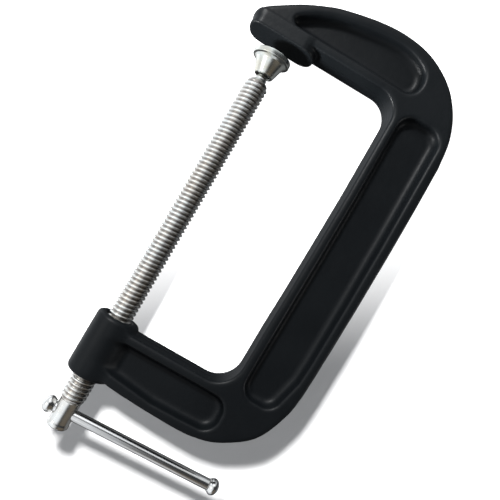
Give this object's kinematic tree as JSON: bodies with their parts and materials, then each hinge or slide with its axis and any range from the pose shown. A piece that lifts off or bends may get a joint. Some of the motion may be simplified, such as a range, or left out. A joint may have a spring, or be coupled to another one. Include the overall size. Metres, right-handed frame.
{
  "type": "c clamp",
  "caption": "C-clamp with a cast I-section frame, a threaded screw with swivel pad, and a sliding tommy bar handle.",
  "frame": {"origin": "centre of the anvil face, where the screw axis meets it", "axes": "+Z along the screw axis from the handle towards the anvil, +X from the screw axis towards the spine, +Y across the frame's width"},
  "size_m": [0.1642, 0.0316, 0.3525],
  "materials": {
    "frame_paint": "satin",
    "screw_zinc": "satin",
    "pad_zinc": "satin",
    "ring_steel": "satin",
    "bar_zinc": "gloss"
  },
  "bodies": {
    "frame": {"frame": "frame_paint"},
    "pad_carrier": {"pad_retaining_ring": "ring_steel"},
    "screw": {"screw": "screw_zinc"},
    "pad": {"swivel_pad": "pad_zinc"},
    "handle": {"tommy_bar": "bar_zinc", "bar_cap_near": "bar_zinc", "bar_cap_far": "bar_zinc"}
  },
  "joints": [
    {"name": "screw_feed", "type": "slide", "parent": "frame", "child": "pad_carrier", "axis": [0, 0, -1], "range_m": [-0.0078, 0.1912]},
    {"name": "screw_turn", "type": "hinge", "parent": "pad_carrier", "child": "screw", "pos_m": [0, 0, -0.25], "axis": [0, 0, -1], "range_deg": [-850.4, 21634]},
    {"name": "pad_tilt", "type": "hinge", "parent": "pad_carrier", "child": "pad", "pos_m": [0, 0, -0.018], "axis": [0, 1, 0], "range_deg": [-4, 12]},
    {"name": "bar_slide", "type": "slide", "parent": "screw", "child": "handle", "axis": [-0.9969, -0.0785, 0], "range_m": [0, 0.105]}
  ],
  "couplings": [
    {"joint": "screw_feed", "follows": "screw_turn", "m_per_rad": 0.00050532}
  ]
}
